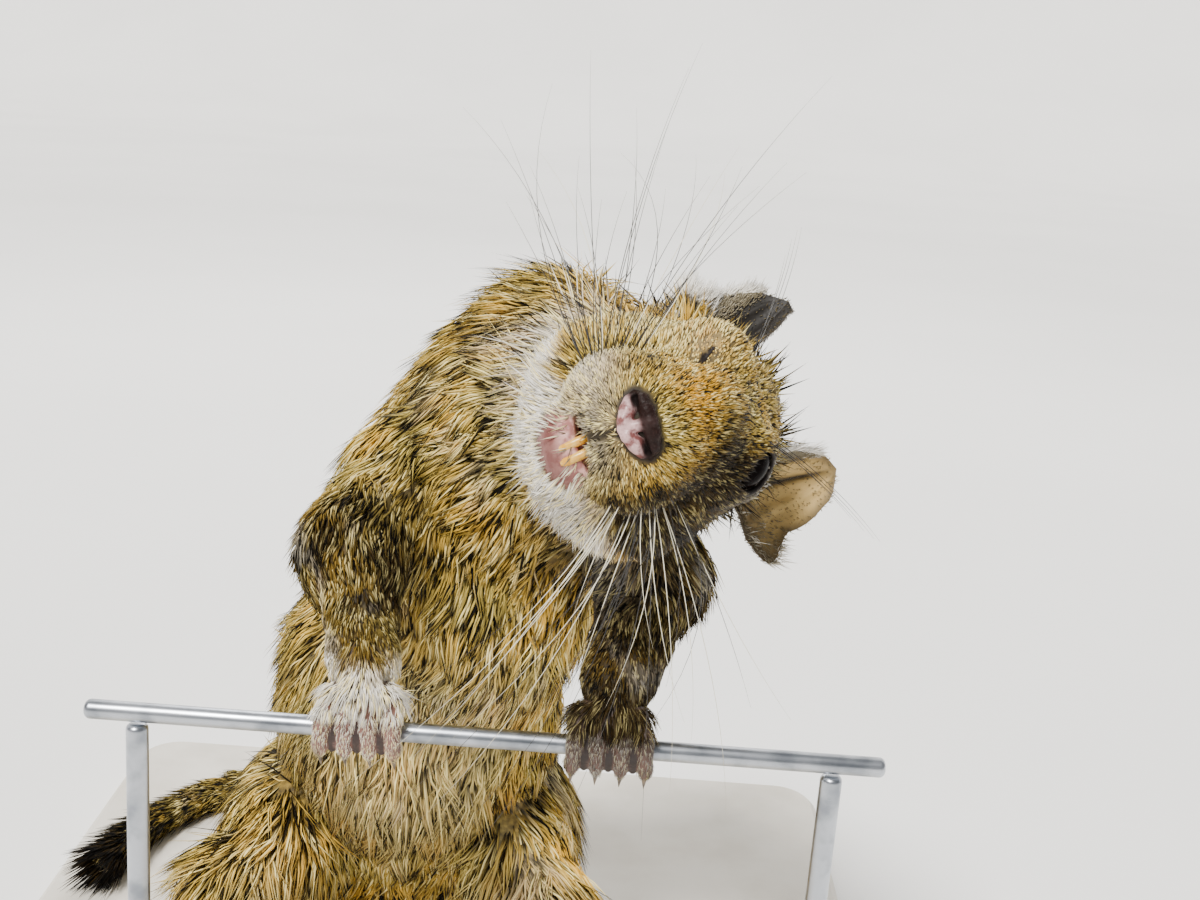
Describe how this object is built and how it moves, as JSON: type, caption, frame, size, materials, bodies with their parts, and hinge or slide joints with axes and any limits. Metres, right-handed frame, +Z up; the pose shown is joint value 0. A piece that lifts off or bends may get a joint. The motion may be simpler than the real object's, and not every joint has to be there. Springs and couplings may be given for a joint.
{
  "type": "degu museum model standing at a bar",
  "caption": "Life-size still model of a degu that stands upright, holds a level bar with both hands and tips its head, on a flat display base.",
  "frame": {"origin": "middle of the underside of the display base", "axes": "+Z up, +X to the viewer's right as the animal faces the viewer, +Y away from the viewer"},
  "size_m": [0.156, 0.172, 0.1794],
  "materials": {
    "coat": "dense grizzled fur, golden with black ticking",
    "pale_coat": "short cream fur",
    "pink_skin": "moist bare skin",
    "nose_skin": "bare nose pad, slightly shiny",
    "ear_skin": "thin skin with fine down",
    "hand_skin": "bare scaly skin with pale hairs",
    "eye": "wet black eye",
    "enamel": "yellow enamel",
    "brush_hair": "long stiff black hairs",
    "steel": "satin grey steel wire",
    "base_board": "matt pale paint"
  },
  "bodies": {
    "root": {"head": "coat", "lower_jaw": "pale_coat", "tongue": "pink_skin", "nose": "nose_skin", "eye_left": "eye", "eye_right": "eye", "incisor_left": "enamel", "incisor_right": "enamel", "ear_left": "ear_skin", "ear_right": "ear_skin", "neck": "coat", "chest": "coat", "abdomen": "coat", "rump": "coat", "upper_arm_left": "coat", "upper_arm_right": "coat", "forearm_left": "coat", "forearm_right": "coat", "hand_left": "hand_skin", "hand_right": "hand_skin", "thigh_left": "coat", "thigh_right": "coat", "shank_left": "coat", "shank_right": "coat", "foot_left": "hand_skin", "foot_right": "hand_skin", "tail_1": "coat", "tail_2": "coat", "tail_3": "coat", "tail_4": "coat", "tail_brush": "brush_hair", "stand_base": "base_board", "stand_perch": "steel", "stand_rod_left": "steel", "stand_rod_right": "steel"}
  },
  "joints": []
}
